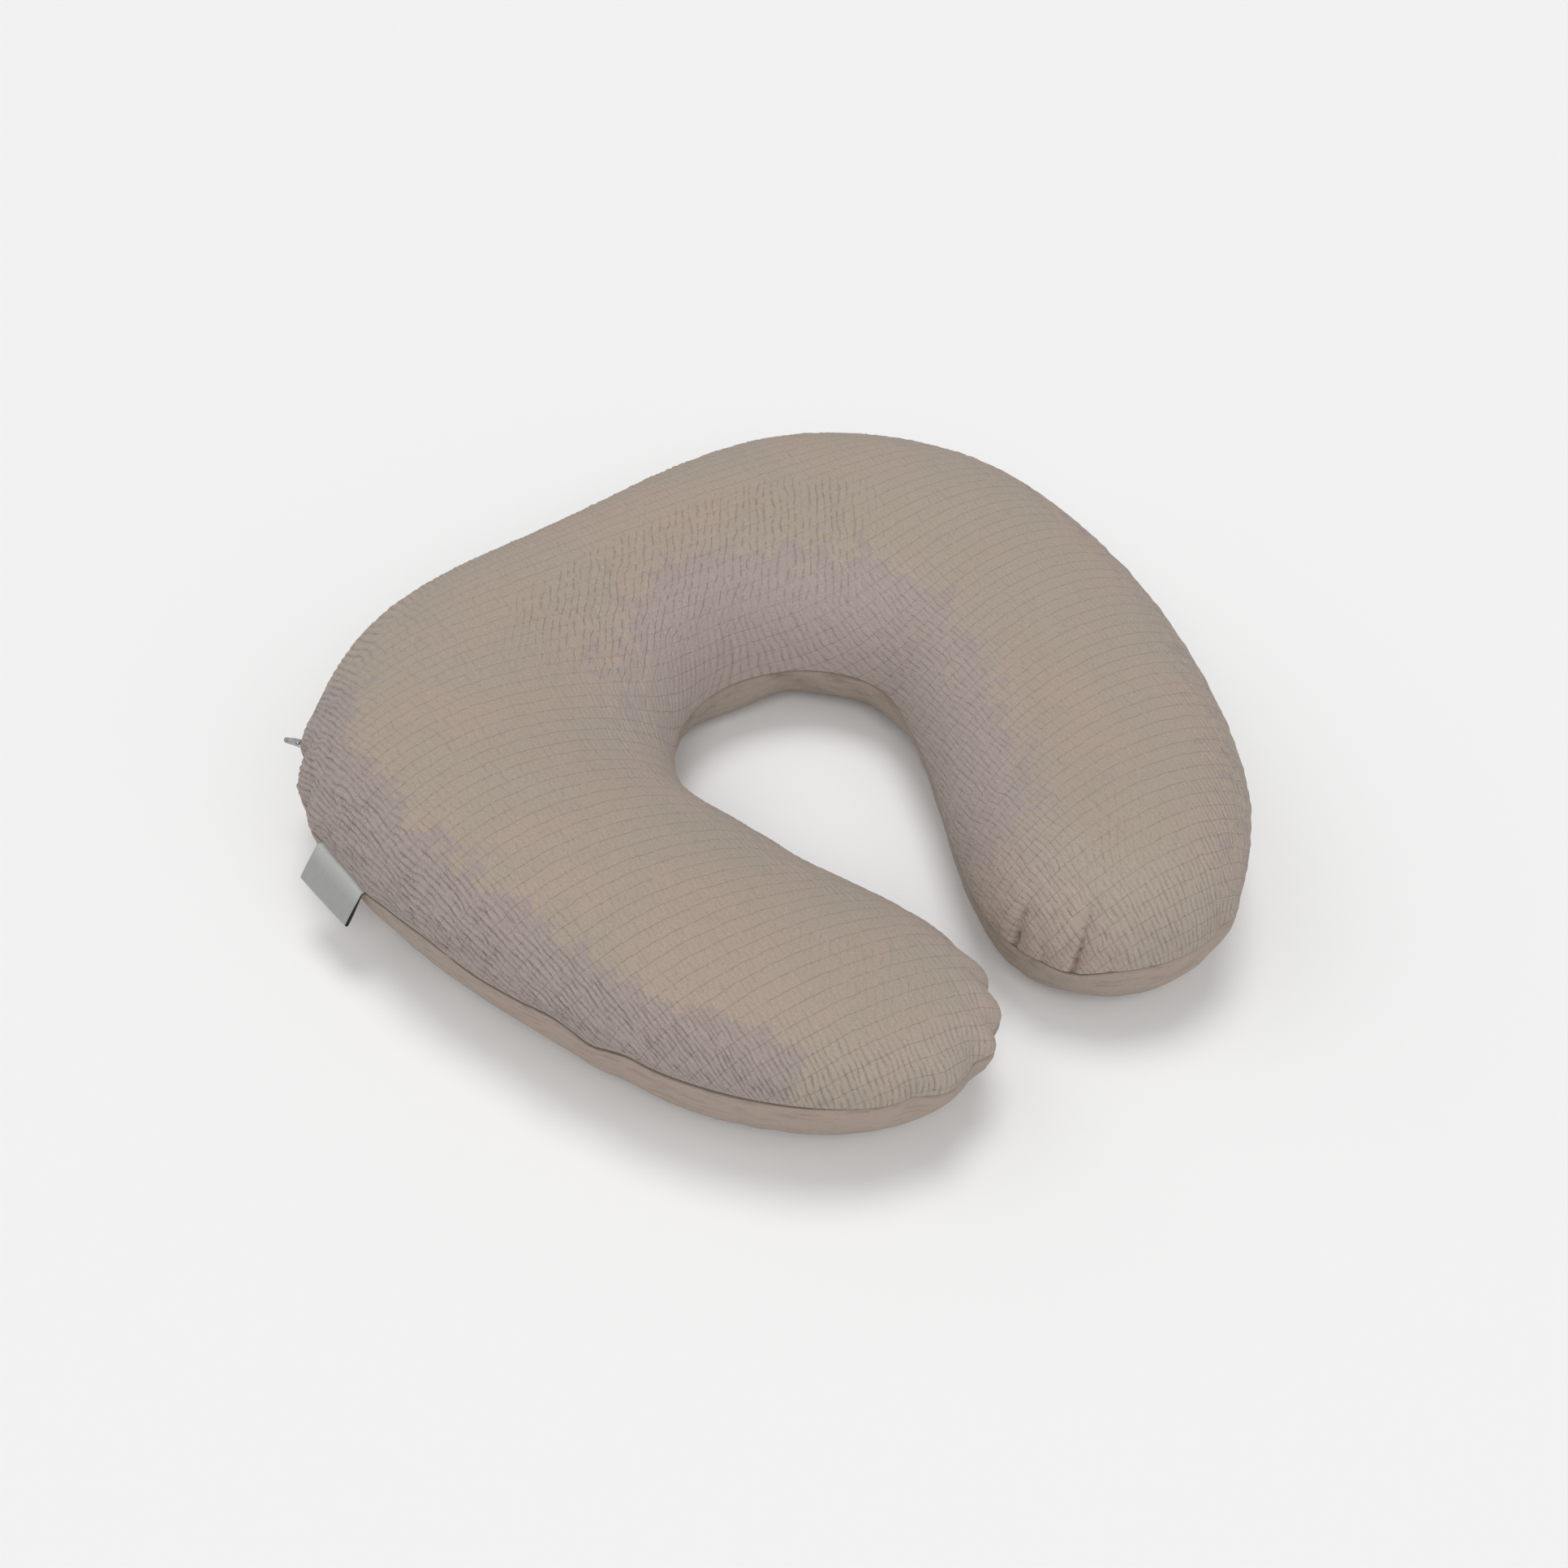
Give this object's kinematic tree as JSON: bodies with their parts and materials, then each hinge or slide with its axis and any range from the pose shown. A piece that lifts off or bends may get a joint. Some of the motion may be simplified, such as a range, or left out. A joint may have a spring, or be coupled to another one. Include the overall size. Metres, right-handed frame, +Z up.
{
  "type": "U-shaped nursing and body pillow",
  "caption": "U-shaped filled pillow with full round arms, a crinkled top panel, a plain lower panel, a drawn-in edge seam, a closed zip and a bare folded ribbon label.",
  "frame": {"origin": "on the surface under the middle of the whole object's box", "axes": "+Z up from the surface; the arms point along -Y and the back of the U lies towards +Y; +X to the right seen from the arms' side"},
  "size_m": [0.6172, 0.5764, 0.1381],
  "materials": {
    "cover": "crinkled cotton above the seam, plain jersey below it, matt",
    "label": "satin ribbon, soft sheen",
    "zip_tape": "woven tape, matt",
    "zip_metal": "satin grey metal"
  },
  "bodies": {
    "root": {"pillow": "cover", "label": "label", "zip_tape": "zip_tape", "zip_slider": "zip_metal", "zip_pull": "zip_metal"}
  },
  "joints": []
}
